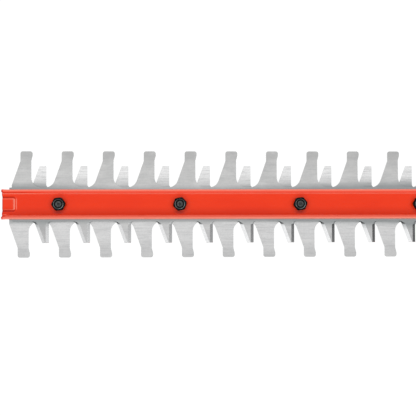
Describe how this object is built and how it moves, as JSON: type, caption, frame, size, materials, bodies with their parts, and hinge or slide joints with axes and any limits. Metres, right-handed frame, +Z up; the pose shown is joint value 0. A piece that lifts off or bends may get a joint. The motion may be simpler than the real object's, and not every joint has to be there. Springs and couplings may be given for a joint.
{
  "type": "hedge trimmer cutter bar",
  "caption": "Double-sided hedge trimmer cutter bar: two toothed blades that slide against each other under a painted channel guide bar held by bolts.",
  "frame": {"origin": "centre of the four gearcase bolt holes, on the top face of the guide bar's foot", "axes": "+X along the bar from its tip to the drive end, +Y across the teeth towards the upper blade's long teeth, +Z up through the bolt heads"},
  "size_m": [0.589, 0.0908, 0.0215],
  "materials": {
    "orange_paint": "semi-gloss orange-red powder coat on pressed steel",
    "ground_steel": "ground spring steel with fine grinding lines along the blade",
    "bush_bronze": "turned bearing bronze",
    "black_oxide": "black oxide with a trace of oil",
    "plain_steel": "hardened and tumbled steel",
    "zinc_steel": "bright zinc plate"
  },
  "bodies": {
    "bar": {"guide_bar": "orange_paint", "bar_bolt_1": "black_oxide", "bar_bolt_2": "black_oxide", "bar_bolt_3": "black_oxide", "bar_bolt_4": "black_oxide", "bar_bolt_5": "black_oxide", "spacer_sleeve_1": "plain_steel", "spacer_sleeve_2": "plain_steel", "spacer_sleeve_3": "plain_steel", "spacer_sleeve_4": "plain_steel", "spacer_sleeve_5": "plain_steel", "slide_washer_1": "plain_steel", "slide_washer_2": "plain_steel", "slide_washer_3": "plain_steel", "slide_washer_4": "plain_steel", "slide_washer_5": "plain_steel", "lock_nut_1": "zinc_steel", "lock_nut_2": "zinc_steel", "lock_nut_3": "zinc_steel", "lock_nut_4": "zinc_steel", "lock_nut_5": "zinc_steel"},
    "upper_blade": {"upper_blade": "ground_steel", "upper_drive_bush": "bush_bronze"},
    "lower_blade": {"lower_blade": "ground_steel", "lower_drive_bush": "bush_bronze"}
  },
  "joints": [
    {"name": "upper_blade_slide", "type": "slide", "parent": "bar", "child": "upper_blade", "axis": [1, 0, 0], "range_m": [-0.00995, 0.00755]},
    {"name": "lower_blade_slide", "type": "slide", "parent": "bar", "child": "lower_blade", "axis": [1, 0, 0], "range_m": [-0.00755, 0.00995]}
  ],
  "couplings": [
    {"joint": "lower_blade_slide", "follows": "upper_blade_slide", "ratio": -1}
  ]
}
